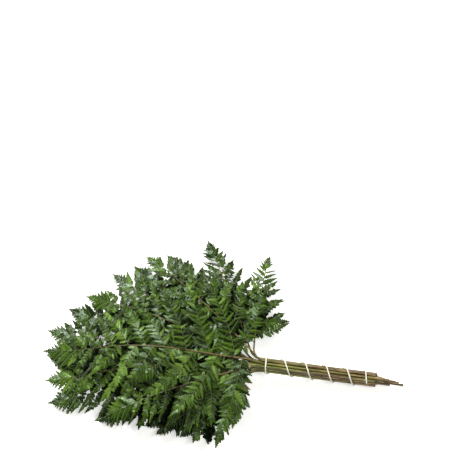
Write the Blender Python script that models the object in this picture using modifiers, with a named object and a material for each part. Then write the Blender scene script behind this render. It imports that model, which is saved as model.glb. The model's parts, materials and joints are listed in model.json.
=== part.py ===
"""Bunch of leatherleaf fern fronds, tied by their stalks and lying on a table.

Metres, +Z up. The stalks point along +X and the blades spread towards -X. Every frond is a
round stalk and a leafy blade, whose leaflets are cut to the ribs. The blades lie one above
another in a heap: each keeps to a layer of its own, so that they cross in plan and never touch.
The origin is under the middle of the bunch, on the table.

In plan a place is given as (s, y): s is how far it lies from the neck, the first turn of the
tie, towards the tips of the blades, and y how far it lies to the side.
"""

import math
import random

import bmesh
import bpy
from mathutils import Vector

MM = 0.001

# Where the neck lies in the part's frame.
NECK_X = 66.937 * MM
NECK_Y = -34.893 * MM
NECK_HEIGHT = 36 * MM

# The stalks, packed like pencils in a tied bundle.
STALK_PITCH = 4.9 * MM
ROW_PITCH = STALK_PITCH * math.sqrt(3) / 2
RADIUS_AT_CUT = 2.25 * MM
RADIUS_AT_NECK = 2.1 * MM
RADIUS_AT_BLADE = 1.35 * MM
LONGEST_CUT = 229 * MM
SHORTEST_CUT = 165 * MM
CUT_HEIGHT = 2 * ROW_PITCH + RADIUS_AT_CUT
STALK_END_GAP = 0.6 * MM

# The headings of the fronds in each row of the bundle, in degrees, the lowest row first.
# A heading of 0 is straight on from the bundle, and headings grow towards +Y.
HEADINGS = (
    (-34, -5, 34),
    (-46, -21, 11, 51),
    (-36, -13, 3, 27, 66),
    (-42, -9, 19, 89),
    (-23, -1, 41),
)
FRONDS = sum(len(row) for row in HEADINGS)

# How far a frond reaches from the neck, by its heading.
REACH = (
    (-46, 174 * MM),
    (-36, 202 * MM),
    (-23, 268 * MM),
    (-13, 350 * MM),
    (3, 358 * MM),
    (19, 313 * MM),
    (41, 264 * MM),
    (66, 240 * MM),
    (89, 200 * MM),
)
# How far along a frond its blade starts, by its heading. The top row's blades start sooner.
STARTS = ((-50, 52 * MM), (0, 62 * MM), (60, 44 * MM))
TOP_ROW_START = 28 * MM
# How wide a blade is, by its heading, as a share of the usual width.
WIDTHS = ((-46, 0.8), (-20, 0.92), (0, 1.0), (60, 1.0), (89, 0.92))
TURN_SHARE = 0.76

# The heap of blades: its depth, where it swells, and where it falls away.
SPREAD_BY = 66 * MM
HEAP_DEPTH = 60 * MM
HEAP_SWELL = 40 * MM
SWELL_AT = 180 * MM
SWELL_WIDTH = 100 * MM
HEAP_FALL = 24 * MM
FALL_FROM = 220 * MM
FALL_WITHIN = 140 * MM
HEAP_HALF_WIDTH = 170 * MM
SIDE_FALL = 0.45
TOP_LAYER_GROWTH = 1.5
GROWS_WITHIN = 90 * MM
LAYER_GAP = 0.15 * MM

# One blade: its pairs of pinnae, and the leaflets on each side of a pinna.
LEAFLETS_OF_PAIR = (3, 3, 3, 2, 2, 1, 1, 1, 0, 0)
TIP_LEAFLETS = 2
TIP_LEAFLET_ANGLE = 38.0
FIRST_PAIR = 0.035
FIRST_GAP = 0.12
GAP_SHRINK = 0.91
STAGGER = 0.035
PINNA_LENGTH = 0.45
PINNA_ANGLES = (80.0, 50.0)
PLAIN_LEAFLET_BASE = 0.32
PINNA_CURVE = 20.0
BLADE_THICKNESS = 0.7 * MM
RACHIS_THICKNESS = 2.2 * MM
RACHIS_HALF_WIDTH = 1.3 * MM
RIB_HALF_WIDTH = 0.9 * MM
TIP_HALF_WIDTH = 0.4 * MM
LEAFLET_LEAN = 0.6
CUT_SHARE = 0.7

# The tie, an elastic cord that rings the neck and is wound along the stalks in a spiral.
# Its turns are counted from the +Y side of the bundle, and go over the top.
TIE_RADIUS = 1.1 * MM
TIE_GAP = 0.3 * MM
TIE_RUN = ((-0.5, 1.2), (0.5, -1.2), (1.0, -25.0), (5.0, -158.0), (5.4, -162.5))


def smooth(x):
    """0 below 0, 1 above 1, and an S-curve between them."""
    x = min(1.0, max(0.0, x))
    return x * x * (3 - 2 * x)


def blend(a, b, share):
    return a + (b - a) * share


def graph(points, x):
    """The height at x of the line that joins these points, level past its ends."""
    if x <= points[0][0]:
        return points[0][1]
    for (x0, y0), (x1, y1) in zip(points, points[1:]):
        if x <= x1:
            return blend(y0, y1, (x - x0) / (x1 - x0))
    return points[-1][1]


# The bundle and the fan of fronds.


def frond_list():
    """One dictionary for each frond, from the lowest layer to the highest."""
    draw = random.Random(11)
    fronds = []
    for row, headings in enumerate(HEADINGS):
        middle = (len(headings) - 1) / 2
        found = []
        for column, heading in enumerate(headings):
            side = (column - middle) / middle
            starts = TOP_ROW_START if row == len(HEADINGS) - 1 else graph(STARTS, heading)
            starts += draw.uniform(-3, 3) * MM
            found.append(
                {
                    "across": (column - middle) * STALK_PITCH,
                    "up": (row - 2) * ROW_PITCH,
                    "heading": heading,
                    "bend": draw.uniform(-9, 9),
                    "starts": starts,
                    "length": graph(REACH, heading) - starts,
                    "width": graph(WIDTHS, heading),
                    "cut": cut_length(side, draw.random()),
                    "seed": draw.randrange(10**6),
                }
            )
        # The heap's foot is its middle frond. In the other rows the outer fronds hang lower.
        found.sort(key=lambda frond: abs(frond["across"]) * (1 if row == 0 else -1))
        fronds += found
    for level, frond in enumerate(fronds):
        frond["level"] = level
    return fronds


def cut_length(side, chance):
    """The middle stalks are cut longest, so that the bundle ends in a point."""
    longest = blend(LONGEST_CUT, SHORTEST_CUT, 0.75 * abs(side))
    return blend(longest, SHORTEST_CUT, 0.5 * chance)


def plan_path(frond):
    """(s, y, direction in radians) at every millimetre along a frond from the neck."""
    s, y = 0.0, frond["across"]
    turned_by = TURN_SHARE * frond["starts"]
    points = []
    for step in range(420):
        along = step * MM
        turned = frond["heading"] * smooth(along / turned_by)
        bent = frond["bend"] * max(0.0, along - turned_by) / frond["length"]
        angle = math.radians(turned + bent)
        points.append((s, y, angle))
        s += MM * math.cos(angle)
        y += MM * math.sin(angle)
    return points


def on_path(path, along):
    place = max(0.0, min(along / MM, len(path) - 2.0))
    index = int(place)
    return tuple(blend(a, b, place - index) for a, b in zip(path[index], path[index + 1]))


# The heap of blades.


def heap_depth(s, y):
    """How deep the heap of blades is, from the table up."""
    swell = HEAP_SWELL * math.exp(-(((s - SWELL_AT) / SWELL_WIDTH) ** 2))
    fall = HEAP_FALL * smooth((s - FALL_FROM) / FALL_WITHIN)
    side = 1 - SIDE_FALL * min(1.2, abs(y) / HEAP_HALF_WIDTH) ** 2
    return (HEAP_DEPTH + swell - fall) * side


def layer(level, s):
    """(lower, upper) bound of a frond's layer, as shares of the heap's depth."""
    weights = [1 + TOP_LAYER_GROWTH * (n / (FRONDS - 1)) ** 1.5 for n in range(FRONDS)]
    total = sum(weights)
    spread = smooth((s - SPREAD_BY) / GROWS_WITHIN)
    lower = blend(level / FRONDS, sum(weights[:level]) / total, spread)
    upper = blend((level + 1) / FRONDS, sum(weights[: level + 1]) / total, spread)
    return lower, upper


def layer_height(level, s, y):
    return sum(layer(level, s)) / 2 * heap_depth(s, y)


def layer_room(level, s, y):
    """How far a thin blade may rise or dip from the middle of its layer."""
    lower, upper = layer(level, s)
    half = (upper - lower) * heap_depth(s, y) / 2
    bowing = 0.8 * MM * (lower + upper) / 2
    return max(0.0, half - BLADE_THICKNESS / 2 - LAYER_GAP - bowing)


def bundle_height(s):
    """The height of the bundle's axis, which slopes down to the cut ends."""
    return blend(NECK_HEIGHT, CUT_HEIGHT, -s / LONGEST_CUT)


def world(s, y, z):
    return Vector((NECK_X - s, NECK_Y + y, z))


# Materials and round tubes.


def material(name, colour, roughness):
    made = bpy.data.materials.new(name)
    made.use_nodes = True
    shader = made.node_tree.nodes["Principled BSDF"]
    shader.inputs["Base Color"].default_value = (*colour, 1)
    shader.inputs["Roughness"].default_value = roughness
    return made


def tube(name, points, radii, finish, collection):
    """A tube through the points, as a curve with a round bevel and filled caps."""
    curve = bpy.data.curves.new(name, "CURVE")
    curve.dimensions = "3D"
    curve.bevel_depth = radii[0]
    curve.bevel_resolution = 1
    curve.use_fill_caps = True
    spline = curve.splines.new("POLY")
    spline.points.add(len(points) - 1)
    for at, point, radius in zip(spline.points, points, radii):
        at.co = (*point, 1)
        at.radius = radius / radii[0]
    curve.materials.append(finish)
    made = bpy.data.objects.new(name, curve)
    collection.objects.link(made)
    return made


# Stalks.


def stalk(frond, path, finish, collection):
    """From the cut end through the tie, and out of the neck to the foot of the blade."""
    points = [world(-frond["cut"], frond["across"], bundle_height(-frond["cut"]) + frond["up"])]
    radii = [RADIUS_AT_CUT]
    bends = 6
    end = frond["starts"] - STALK_END_GAP
    for n in range(bends + 1):
        along = end * n / bends
        s, y, _ = on_path(path, along)
        settled = smooth(along / min(SPREAD_BY, frond["starts"]))
        height = blend(NECK_HEIGHT + frond["up"], layer_height(frond["level"], s, y), settled)
        points.append(world(s, y, height))
        radii.append(blend(RADIUS_AT_NECK, RADIUS_AT_BLADE, n / bends))
    return tube(f"frond_{frond['level'] + 1:02d}_stalk", points, radii, finish, collection)


# Blades.


class Sheet:
    """The underside of one blade, an open sheet whose points keep to the frond's layer."""

    def __init__(self, level):
        self.level = level
        self.mesh = bmesh.new()
        self.weight = self.mesh.verts.layers.deform.verify()

    def point(self, s, y, lift, thickness):
        """lift is a share of the layer's room, from -1 to 1. The lowest blade is pressed flat."""
        height = 0.0
        if self.level > 0:
            height = layer_height(self.level, s, y) - thickness / 2
            height += max(-1.0, min(1.0, lift)) * layer_room(self.level, s, y)
        vertex = self.mesh.verts.new(world(s, y, height))
        vertex[self.weight][0] = thickness / RACHIS_THICKNESS
        return vertex

    def leaflet(self, hand, root, tip, next_root):
        """A leaflet to the left of its rib, where hand is 1, or to the right, where it is -1."""
        corners = (root, next_root, tip) if hand > 0 else (root, tip, next_root)
        self.mesh.faces.new(corners)

    def rib(self, left, right):
        """Triangles between the two edges of a rib, which end in one vertex. Short ones first."""
        i = j = 0
        while i + j < len(left) + len(right) - 4:
            step_left = math.inf
            step_right = math.inf
            if i < len(left) - 2:
                step_left = (left[i + 1].co - right[j].co).length
            if j < len(right) - 2:
                step_right = (right[j + 1].co - left[i].co).length
            if step_left < step_right:
                self.mesh.faces.new((left[i], right[j], left[i + 1]))
                i += 1
            else:
                self.mesh.faces.new((left[i], right[j], right[j + 1]))
                j += 1
        self.mesh.faces.new((left[-2], right[-2], left[-1]))


def pair_place(pair):
    """How far along the blade a pair of pinnae stands, as a share of its length."""
    return FIRST_PAIR + FIRST_GAP * (1 - GAP_SHRINK**pair) / (1 - GAP_SHRINK)


def pinna_arch(v):
    """A pinna rises a little from the rachis, and then droops to its tip."""
    return 1.9 * v - 2.3 * v * v


def rib_path(s, y, angle, curve, length, steps):
    """(s, y, direction) along a rib that turns by curve, in degrees, over its length."""
    points = []
    for step in range(steps + 1):
        here = angle - math.radians(curve) * step / steps
        points.append((s, y, here))
        s += length / steps * math.cos(here)
        y += length / steps * math.sin(here)
    return points


def on_rib(rib, v):
    place = min(1.0, v) * (len(rib) - 1)
    index = min(len(rib) - 2, int(place))
    return tuple(blend(a, b, place - index) for a, b in zip(rib[index], rib[index + 1]))


def pinna(sheet, frond, draw, base, hand, pair, place, near, far):
    """A rib with leaflets cut to it, which leaves the rachis between two of its vertices.

    near is the one towards the stalk. hand is 1 to the left of the rachis and -1 to its right.
    """
    s, y, heading = base
    first_angle = blend(*PINNA_ANGLES, place / 0.8) + draw.uniform(-3, 3)
    length = PINNA_LENGTH * frond["width"] * frond["length"] * (1 - place) ** 0.8
    length *= draw.uniform(0.94, 1.04)
    twist = draw.uniform(-0.35, 0.35)
    lift = draw.uniform(-0.15, 0.15)
    count = LEAFLETS_OF_PAIR[pair]
    gap = FIRST_GAP * GAP_SHRINK**pair * frond["length"]
    reach = 0.455 * gap * math.sin(math.radians(first_angle))
    start = heading + hand * math.radians(first_angle)
    rib = rib_path(s, y, start, hand * PINNA_CURVE, length, 10)

    def beside(v, off, lean, tilt, thickness=BLADE_THICKNESS):
        """A point beside the rib, to its left where off is positive, and lean further on."""
        x0, y0, angle = on_rib(rib, v + lean / length)
        at = (x0 - off * math.sin(angle), y0 + off * math.cos(angle))
        height = pinna_arch(v) + lift * min(1.0, 4 * v) + tilt
        return sheet.point(*at, height, thickness)

    edges = {}
    for side in (1, -1):
        edge = [near if side == hand else far]
        for n in range(count):
            v = (n + 0.5) / (count + 0.7)
            notch = (n + 1) / (count + 0.7)
            width = reach * (1 - v) ** 0.4 * draw.uniform(0.92, 1.03)
            if pair == 0 and side == hand:
                width *= 1.35
            tip = beside(v, side * width, LEAFLET_LEAN * width, side * twist - 0.25)
            half = max(blend(RIB_HALF_WIDTH, TIP_HALF_WIDTH, notch), (1 - CUT_SHARE) * width)
            root = beside(notch, side * half, 0, 0, BLADE_THICKNESS * 1.2)
            sheet.leaflet(side, edge[-1], tip, root)
            edge.append(root)
        edges[side] = edge
    apex = beside(1.0, 0, 0, 0)
    for side in (1, -1):
        edges[side].append(apex)
    sheet.rib(edges[1], edges[-1])


def blade(frond, path, finish, collection):
    """The leafy part of a frond, a sheet of rachis, pinnae and leaflets given a thickness."""
    draw = random.Random(frond["seed"])
    sheet = Sheet(frond["level"])
    start, length = frond["starts"], frond["length"]

    def rachis_edge(place, hand):
        s, y, heading = on_path(path, start + place * length)
        half = hand * blend(RACHIS_HALF_WIDTH, TIP_HALF_WIDTH, place)
        return s - half * math.sin(heading), y + half * math.cos(heading), heading

    def rachis_vertex(place, hand):
        s, y, _ = rachis_edge(place, hand)
        thickness = blend(RACHIS_THICKNESS, BLADE_THICKNESS, min(1.0, place * 1.1))
        return sheet.point(s, y, 0.0, thickness)

    edges = {
        hand: [rachis_vertex(place, hand) for place in (0.0, FIRST_PAIR / 2)]
        for hand in (1, -1)
    }
    for pair, leaflets in enumerate(LEAFLETS_OF_PAIR):
        half_base = 1.1 * RIB_HALF_WIDTH / length
        if leaflets == 0:
            half_base = PLAIN_LEAFLET_BASE * FIRST_GAP * GAP_SHRINK**pair
        for hand in (1, -1):
            place = pair_place(pair) + STAGGER * (0.5 + 0.5 * hand)
            near = rachis_vertex(place - half_base, hand)
            far = rachis_vertex(place + half_base, hand)
            pinna(sheet, frond, draw, rachis_edge(place, hand), hand, pair, place, near, far)
            edges[hand] += [near, far]
    # The tip of the blade has single leaflets on the rachis itself.
    first = pair_place(len(LEAFLETS_OF_PAIR)) + STAGGER
    for n in range(TIP_LEAFLETS):
        low = blend(first, 0.97, n / TIP_LEAFLETS)
        high = blend(first, 0.97, (n + 1) / TIP_LEAFLETS)
        for hand in (1, -1):
            if n == 0:
                edges[hand].append(rachis_vertex(low, hand))
            s, y, heading = on_path(path, start + blend(low, high, 0.5) * length)
            reach = 0.5 * length * (1 - low) * draw.uniform(0.9, 1.05)
            angle = heading + hand * math.radians(TIP_LEAFLET_ANGLE)
            at = (s + reach * math.cos(angle), y + reach * math.sin(angle))
            tip = sheet.point(*at, -0.2, BLADE_THICKNESS)
            root = rachis_vertex(high, hand)
            sheet.leaflet(hand, edges[hand][-1], tip, root)
            edges[hand].append(root)
    s, y, _ = on_path(path, start + length)
    apex = sheet.point(s, y, -0.3, BLADE_THICKNESS)
    for hand in (1, -1):
        edges[hand].append(apex)
    sheet.rib(edges[1], edges[-1])

    name = f"frond_{frond['level'] + 1:02d}_blade"
    data = bpy.data.meshes.new(name)
    bmesh.ops.recalc_face_normals(sheet.mesh, faces=sheet.mesh.faces)
    if sum(face.normal.z for face in sheet.mesh.faces) < 0:
        bmesh.ops.reverse_faces(sheet.mesh, faces=sheet.mesh.faces)
    sheet.mesh.to_mesh(data)
    sheet.mesh.free()
    data.materials.append(finish)
    made = bpy.data.objects.new(name, data)
    made.vertex_groups.new(name="thickness")
    collection.objects.link(made)
    shell = made.modifiers.new("Thickness", "SOLIDIFY")
    shell.thickness = RACHIS_THICKNESS
    shell.offset = 1.0
    shell.vertex_group = "thickness"
    return made


# The tie.


def tie(finish, collection):
    """A cord that follows the corners of the packed bundle, two points at each corner stalk."""
    corner = 2 * STALK_PITCH
    off = (RADIUS_AT_CUT + TIE_GAP + TIE_RADIUS) / math.cos(math.radians(15))

    def around(step):
        """The place of the cord at this many twelfths of a turn."""
        middle = math.radians(60 * ((step + 1) // 2))
        angle = middle + math.radians(-15 if step % 2 else 15)
        s = graph(TIE_RUN, step / 12) * MM
        y = corner * math.cos(middle) + off * math.cos(angle)
        z = bundle_height(s) + corner * math.sin(middle) + off * math.sin(angle)
        return world(s, y, z)

    first, last = round(TIE_RUN[0][0] * 12), round(TIE_RUN[-1][0] * 12)
    points = [around(step) for step in range(first, last + 1)]
    cord = tube("tie", points, [TIE_RADIUS] * len(points), finish, collection)
    bpy.context.view_layer.update()
    evaluated = cord.evaluated_get(bpy.context.evaluated_depsgraph_get())
    data = bpy.data.meshes.new_from_object(evaluated)
    bpy.data.objects.remove(cord)
    welded = bmesh.new()
    welded.from_mesh(data)
    bmesh.ops.remove_doubles(welded, verts=welded.verts, dist=0.00001)
    welded.to_mesh(data)
    welded.free()
    made = bpy.data.objects.new("tie", data)
    collection.objects.link(made)
    return made


def main():
    for old in list(bpy.data.objects):
        bpy.data.objects.remove(old)
    collection = bpy.data.collections.new("leatherleaf_fern_bunch")
    bpy.context.scene.collection.children.link(collection)
    green = material("fern_green", (0.09, 0.18, 0.045), 0.4)
    olive = material("stalk_olive", (0.23, 0.19, 0.08), 0.6)
    cream = material("tie_cream", (0.82, 0.81, 0.7), 0.5)
    for frond in frond_list():
        path = plan_path(frond)
        stalk(frond, path, olive, collection)
        blade(frond, path, green, collection)
    tie(cream, collection)


main()
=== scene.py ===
import json
import math
import random

import bmesh
import bpy
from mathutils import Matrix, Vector

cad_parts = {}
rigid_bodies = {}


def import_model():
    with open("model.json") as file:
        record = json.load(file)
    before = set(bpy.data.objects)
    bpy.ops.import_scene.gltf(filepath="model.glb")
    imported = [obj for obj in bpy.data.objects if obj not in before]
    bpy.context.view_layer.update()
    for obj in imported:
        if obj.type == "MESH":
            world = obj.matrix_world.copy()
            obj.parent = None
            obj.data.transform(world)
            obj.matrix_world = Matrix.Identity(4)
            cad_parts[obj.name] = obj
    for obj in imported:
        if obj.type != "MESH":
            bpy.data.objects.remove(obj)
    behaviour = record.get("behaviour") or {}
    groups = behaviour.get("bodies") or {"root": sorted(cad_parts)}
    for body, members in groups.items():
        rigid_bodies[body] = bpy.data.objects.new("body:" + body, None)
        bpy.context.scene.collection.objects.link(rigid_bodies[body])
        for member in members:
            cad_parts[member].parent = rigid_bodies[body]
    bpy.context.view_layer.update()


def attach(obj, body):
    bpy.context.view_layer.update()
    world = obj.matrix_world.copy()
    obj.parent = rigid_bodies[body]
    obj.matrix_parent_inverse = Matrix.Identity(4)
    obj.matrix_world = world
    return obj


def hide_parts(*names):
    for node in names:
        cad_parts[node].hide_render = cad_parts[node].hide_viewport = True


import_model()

MM = 0.001

# The camera looks steeply down on the bunch as it lies, from the side of its lower edge, and a
# little from the side of the cut ends. The bunch fills the lower half of the square view.
CAMERA_HEADING = math.radians(6.0)
CAMERA_HEIGHT = math.radians(68.0)
CAMERA_DISTANCE = 2.4
VIEW_WIDTH = 0.742
SENSOR_WIDTH = 36
NECK = Vector((66.937, -34.893, 36.0)) * MM
AIM_LEFT = 64 * MM
AIM_AHEAD = 240 * MM
right = Vector((math.cos(CAMERA_HEADING), math.sin(CAMERA_HEADING), 0))
ahead = Vector((-math.sin(CAMERA_HEADING), math.cos(CAMERA_HEADING), 0))
aim = NECK - right * AIM_LEFT + ahead * AIM_AHEAD
back = Vector((0, 0, math.sin(CAMERA_HEIGHT))) - ahead * math.cos(CAMERA_HEIGHT)
camera_data = bpy.data.cameras.new("camera")
camera_data.sensor_width = SENSOR_WIDTH
camera_data.lens = SENSOR_WIDTH * CAMERA_DISTANCE / VIEW_WIDTH
bpy.context.scene.view_settings.view_transform = "Standard"
camera = bpy.data.objects.new("camera", camera_data)
camera.location = aim + back * CAMERA_DISTANCE
camera.rotation_euler = (-back).to_track_quat("-Z", "Y").to_euler()
bpy.context.scene.collection.objects.link(camera)
bpy.context.scene.camera = camera


# The stalks. Nineteen fronds were cut with long round stalks and packed side by side, the
# longest ones in the middle. Past the neck of the bundle each stalk turns to its own blade.
# Its heading is how many degrees it turns, here for each row of stalks from the lowest up.
STALK_PITCH = 4.9 * MM
ROW_PITCH = STALK_PITCH * math.sqrt(3) / 2
RADIUS_AT_CUT = 2.25 * MM
RADIUS_AT_NECK = 2.1 * MM
RADIUS_AT_BLADE = 1.35 * MM
LONGEST_CUT = 229 * MM
SHORTEST_CUT = 165 * MM
OUTER_SHORTER = 0.75
CHANCE_SHORTER = 0.5
CUT_HEIGHT = 2 * ROW_PITCH + RADIUS_AT_CUT
HEADINGS = (
    (-34, -5, 34),
    (-46, -21, 11, 51),
    (-36, -13, 3, 27, 66),
    (-42, -9, 19, 89),
    (-23, -1, 41),
)
FRONDS = sum(len(row) for row in HEADINGS)
# By heading: how far a frond's tip is from the neck, where its blade starts, and how wide it is.
REACH = (
    (-46, 174 * MM),
    (-36, 202 * MM),
    (-23, 268 * MM),
    (-13, 350 * MM),
    (3, 358 * MM),
    (19, 313 * MM),
    (41, 264 * MM),
    (66, 240 * MM),
    (89, 200 * MM),
)
STARTS = ((-50, 52 * MM), (0, 62 * MM), (60, 44 * MM))
TOP_ROW_START = 28 * MM
WIDTHS = ((-46, 0.8), (-20, 0.92), (0, 1.0), (60, 1.0), (89, 0.92))
BUNCH_SEED = 11
START_VARIES = 3
BEND_VARIES = 9
PATH_STEPS = 420
TURN_SHARE = 0.76
SPREAD_BY = 66 * MM
HEAP_DEPTH = 60 * MM
HEAP_SWELL = 40 * MM
SWELL_AT = 180 * MM
SWELL_WIDTH = 100 * MM
HEAP_FALL = 24 * MM
FALL_FROM = 220 * MM
FALL_WITHIN = 140 * MM
HEAP_HALF_WIDTH = 170 * MM
SIDE_FALL = 0.45
TOP_LAYER_GROWTH = 1.5
GROWS_WITHIN = 90 * MM
STALK_SIDES = 14


def smooth(x):
    x = min(1.0, max(0.0, x))
    return x * x * (3 - 2 * x)


def blend(a, b, share):
    return a + (b - a) * share


def graph(points, x):
    """The height at x of the line that joins these points, level past its ends."""
    if x <= points[0][0]:
        return points[0][1]
    for (x0, y0), (x1, y1) in zip(points, points[1:]):
        if x <= x1:
            return blend(y0, y1, (x - x0) / (x1 - x0))
    return points[-1][1]


def varied(draw, most):
    """An even draw between -most and most."""
    return draw.uniform(-most, most)


def cut_length(side, chance):
    """How far behind the neck a stalk is cut, side being from -1 to 1 across its row."""
    longest = blend(LONGEST_CUT, SHORTEST_CUT, OUTER_SHORTER * abs(side))
    return blend(longest, SHORTEST_CUT, CHANCE_SHORTER * chance)


def frond_list():
    """One dictionary for each frond, from the lowest layer of the heap to the highest."""
    draw = random.Random(BUNCH_SEED)
    fronds = []
    for row, headings in enumerate(HEADINGS):
        middle = (len(headings) - 1) / 2
        found = []
        for column, heading in enumerate(headings):
            side = (column - middle) / middle
            starts = TOP_ROW_START if row == len(HEADINGS) - 1 else graph(STARTS, heading)
            starts += varied(draw, START_VARIES) * MM
            found.append(
                {
                    "across": (column - middle) * STALK_PITCH,
                    "up": (row - 2) * ROW_PITCH,
                    "heading": heading,
                    "bend": varied(draw, BEND_VARIES),
                    "starts": starts,
                    "length": graph(REACH, heading) - starts,
                    "width": graph(WIDTHS, heading),
                    "cut": cut_length(side, draw.random()),
                    "seed": draw.randrange(10**6),
                }
            )
        found.sort(key=lambda frond: abs(frond["across"]) * (1 if row == 0 else -1))
        fronds += found
    for level, frond in enumerate(fronds):
        frond["level"] = level
        frond["path"] = plan_path(frond)
        frond["name"] = f"frond_{level + 1:02d}"
    return fronds


def plan_path(frond):
    """(s, y, direction) at every millimetre along a frond, s being measured from the neck."""
    s, y = 0.0, frond["across"]
    turned_by = TURN_SHARE * frond["starts"]
    points = []
    for step in range(PATH_STEPS):
        along = step * MM
        turned = frond["heading"] * smooth(along / turned_by)
        bent = frond["bend"] * max(0.0, along - turned_by) / frond["length"]
        angle = math.radians(turned + bent)
        points.append((s, y, angle))
        s += MM * math.cos(angle)
        y += MM * math.sin(angle)
    return points


def on_path(path, along):
    """(s, y, direction) this far along a frond's path."""
    place = max(0.0, min(along / MM, len(path) - 2.0))
    index = int(place)
    return tuple(blend(a, b, place - index) for a, b in zip(path[index], path[index + 1]))


def heap_depth(s, y):
    """How deep the heap of blades is, from the table up."""
    swell = HEAP_SWELL * math.exp(-(((s - SWELL_AT) / SWELL_WIDTH) ** 2))
    fall = HEAP_FALL * smooth((s - FALL_FROM) / FALL_WITHIN)
    side = 1 - SIDE_FALL * min(1.2, abs(y) / HEAP_HALF_WIDTH) ** 2
    return (HEAP_DEPTH + swell - fall) * side


LAYER_WEIGHTS = [1 + TOP_LAYER_GROWTH * (n / (FRONDS - 1)) ** 1.5 for n in range(FRONDS)]


def layer(level, s):
    """(lower, upper) bound of a frond's layer, as shares of the heap's depth."""
    total = sum(LAYER_WEIGHTS)
    spread = smooth((s - SPREAD_BY) / GROWS_WITHIN)
    lower = blend(level / FRONDS, sum(LAYER_WEIGHTS[:level]) / total, spread)
    upper = blend((level + 1) / FRONDS, sum(LAYER_WEIGHTS[: level + 1]) / total, spread)
    return lower, upper


def layer_height(level, s, y):
    """The height of the middle of a frond's layer."""
    return sum(layer(level, s)) / 2 * heap_depth(s, y)


def bundle_height(s):
    """The height of the bundle's middle, which slopes down from the neck to the cut ends."""
    return blend(NECK.z, CUT_HEIGHT, -s / LONGEST_CUT)


def world(s, y, z):
    """A place s past the neck towards the tips, y to the far side of it and z over the table."""
    return Vector((NECK.x - s, NECK.y + y, z))


def strand_mesh(name, strands):
    """A mesh of separate lines. Each strand is a list of (place, {attribute: number})."""
    points = [place for strand in strands for place, _ in strand]
    edges, start = [], 0
    for strand in strands:
        edges += [(start + n, start + n + 1) for n in range(len(strand) - 1)]
        start += len(strand)
    data = bpy.data.meshes.new(name)
    data.from_pydata(points, edges, [])
    for key in strands[0][0][1]:
        values = [facts[key] for strand in strands for _, facts in strand]
        data.attributes.new(key, "FLOAT", "POINT").data.foreach_set("value", values)
    return data


def add_node(tree, kind, inputs=(), **settings):
    """A node with its settings, and its inputs given by name as a value or a socket to link."""
    made = tree.nodes.new(kind)
    for key, value in settings.items():
        setattr(made, key, value)
    for key, value in dict(inputs).items():
        socket = made.inputs[key]
        if isinstance(value, bpy.types.NodeSocket):
            tree.links.new(value, socket)
        else:
            socket.default_value = value
    return made


def new_tree(name, inputs):
    """A geometry tree with Geometry in and out, and these other inputs, {name: kind}."""
    tree = bpy.data.node_groups.new(name, "GeometryNodeTree")
    tree.interface.new_socket("Geometry", in_out="INPUT", socket_type="NodeSocketGeometry")
    for key, kind in inputs.items():
        tree.interface.new_socket(key, in_out="INPUT", socket_type=kind)
    tree.interface.new_socket("Geometry", in_out="OUTPUT", socket_type="NodeSocketGeometry")
    return tree, tree.nodes.new("NodeGroupInput").outputs


def grow(name, data, tree, values):
    """The tree's result on a mesh, as a plain mesh in an object of its own at the origin."""
    seed = bpy.data.objects.new(name + "_lines", data)
    bpy.context.scene.collection.objects.link(seed)
    modifier = seed.modifiers.new("grow", "NODES")
    modifier.node_group = tree
    sockets = {
        item.name: item.identifier
        for item in tree.interface.items_tree
        if item.in_out == "INPUT"
    }
    for key, value in values.items():
        modifier[sockets[key]] = value
    bpy.context.view_layer.update()
    evaluated = seed.evaluated_get(bpy.context.evaluated_depsgraph_get())
    grown = bpy.data.meshes.new_from_object(evaluated)
    seed.modifiers.remove(modifier)
    bpy.data.objects.remove(seed)
    grown.name = name
    made = bpy.data.objects.new(name, grown)
    bpy.context.scene.collection.objects.link(made)
    return made


def tube_nodes(tree, lines, sides, finish):
    """Round tubes along the lines, as thick as their thickness attribute says, with closed ends."""
    curve = add_node(tree, "GeometryNodeMeshToCurve", {"Mesh": lines})
    radius = add_node(
        tree, "GeometryNodeInputNamedAttribute", {"Name": "thickness"}, data_type="FLOAT"
    )
    ring = add_node(tree, "GeometryNodeCurvePrimitiveCircle", {"Resolution": sides, "Radius": 1.0})
    tube = add_node(
        tree,
        "GeometryNodeCurveToMesh",
        {
            "Curve": curve.outputs[0],
            "Profile Curve": ring.outputs[0],
            "Scale": radius.outputs["Attribute"],
            "Fill Caps": True,
        },
    )
    smoothed = add_node(tree, "GeometryNodeSetShadeSmooth", {"Geometry": tube.outputs[0]})
    return add_node(
        tree, "GeometryNodeSetMaterial", {"Geometry": smoothed.outputs[0], "Material": finish}
    ).outputs[0]


stalk_tree, stalk_inputs = new_tree(
    "Stalk", {"Sides": "NodeSocketInt", "Finish": "NodeSocketMaterial"}
)
stalk_tube = tube_nodes(
    stalk_tree, stalk_inputs["Geometry"], stalk_inputs["Sides"], stalk_inputs["Finish"]
)
stalk_real = add_node(stalk_tree, "GeometryNodeRealizeInstances", {"Geometry": stalk_tube})
add_node(stalk_tree, "NodeGroupOutput", {"Geometry": stalk_real.outputs[0]})


def new_finish(name):
    """(material, its node tree, its Principled shader)"""
    made = bpy.data.materials.new(name)
    made.use_nodes = True
    return made, made.node_tree, made.node_tree.nodes["Principled BSDF"]


def colour_mix(tree, share, first, second):
    """The blend of two colours or colour sockets by a share from 0 to 1."""
    made = tree.nodes.new("ShaderNodeMix")
    made.data_type = "RGBA"
    # A Mix node has inputs for each kind of value, and these are the ones for colours.
    for index, value in ((0, share), (6, first), (7, second)):
        socket = made.inputs[index]
        if isinstance(value, bpy.types.NodeSocket):
            tree.links.new(value, socket)
        elif isinstance(value, tuple):
            socket.default_value = (*value, 1)
        else:
            socket.default_value = value
    return made.outputs[2]


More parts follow.
